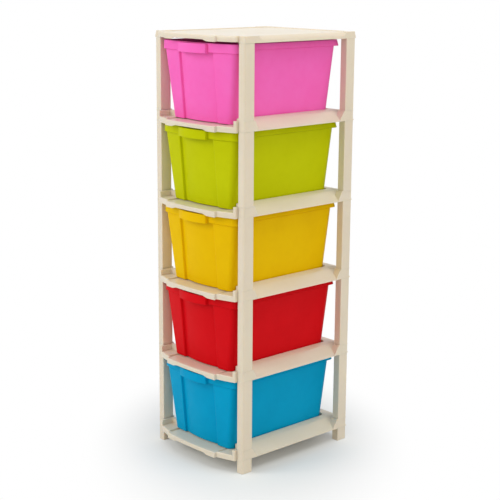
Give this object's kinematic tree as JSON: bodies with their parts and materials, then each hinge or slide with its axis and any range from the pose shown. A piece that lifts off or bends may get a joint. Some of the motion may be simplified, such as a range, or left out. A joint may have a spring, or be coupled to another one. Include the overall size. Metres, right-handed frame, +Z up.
{
  "type": "plastic drawer unit",
  "caption": "Tall narrow storage tower of moulded trays stacked on corner posts, with a tapered bin that slides out as a drawer on every tray.",
  "frame": {"origin": "on the floor, under the middle of the unit's whole width and depth", "axes": "+X to the right as seen from the front, +Y from the bowed front lips to the rear, +Z up"},
  "size_m": [0.3012, 0.3712, 0.977],
  "materials": {
    "ivory_plastic": "satin moulded polypropylene, warm ivory",
    "blue_plastic": "satin moulded polypropylene, blue, slightly translucent at thin edges",
    "red_plastic": "satin moulded polypropylene, red, slightly translucent at thin edges",
    "yellow_plastic": "satin moulded polypropylene, yellow, slightly translucent at thin edges",
    "lime_plastic": "satin moulded polypropylene, lime, slightly translucent at thin edges",
    "pink_plastic": "satin moulded polypropylene, pink, slightly translucent at thin edges"
  },
  "bodies": {
    "frame": {"foot_front_left": "ivory_plastic", "foot_front_right": "ivory_plastic", "foot_rear_right": "ivory_plastic", "foot_rear_left": "ivory_plastic", "tray_1": "ivory_plastic", "tray_2": "ivory_plastic", "tray_3": "ivory_plastic", "tray_4": "ivory_plastic", "tray_5": "ivory_plastic", "post_1_front_left": "ivory_plastic", "post_1_front_right": "ivory_plastic", "post_1_rear_right": "ivory_plastic", "post_1_rear_left": "ivory_plastic", "post_2_front_left": "ivory_plastic", "post_2_front_right": "ivory_plastic", "post_2_rear_right": "ivory_plastic", "post_2_rear_left": "ivory_plastic", "post_3_front_left": "ivory_plastic", "post_3_front_right": "ivory_plastic", "post_3_rear_right": "ivory_plastic", "post_3_rear_left": "ivory_plastic", "post_4_front_left": "ivory_plastic", "post_4_front_right": "ivory_plastic", "post_4_rear_right": "ivory_plastic", "post_4_rear_left": "ivory_plastic", "post_5_front_left": "ivory_plastic", "post_5_front_right": "ivory_plastic", "post_5_rear_right": "ivory_plastic", "post_5_rear_left": "ivory_plastic", "top_frame": "ivory_plastic"},
    "drawer_1": {"drawer_1": "blue_plastic"},
    "drawer_2": {"drawer_2": "red_plastic"},
    "drawer_3": {"drawer_3": "yellow_plastic"},
    "drawer_4": {"drawer_4": "lime_plastic"},
    "drawer_5": {"drawer_5": "pink_plastic"}
  },
  "joints": [
    {"name": "drawer_1_slide", "type": "slide", "parent": "frame", "child": "drawer_1", "axis": [0, -1, 0], "range_m": [0, 0.2]},
    {"name": "drawer_2_slide", "type": "slide", "parent": "frame", "child": "drawer_2", "axis": [0, -1, 0], "range_m": [0, 0.2]},
    {"name": "drawer_3_slide", "type": "slide", "parent": "frame", "child": "drawer_3", "axis": [0, -1, 0], "range_m": [0, 0.2]},
    {"name": "drawer_4_slide", "type": "slide", "parent": "frame", "child": "drawer_4", "axis": [0, -1, 0], "range_m": [0, 0.2]},
    {"name": "drawer_5_slide", "type": "slide", "parent": "frame", "child": "drawer_5", "axis": [0, -1, 0], "range_m": [0, 0.2]}
  ]
}
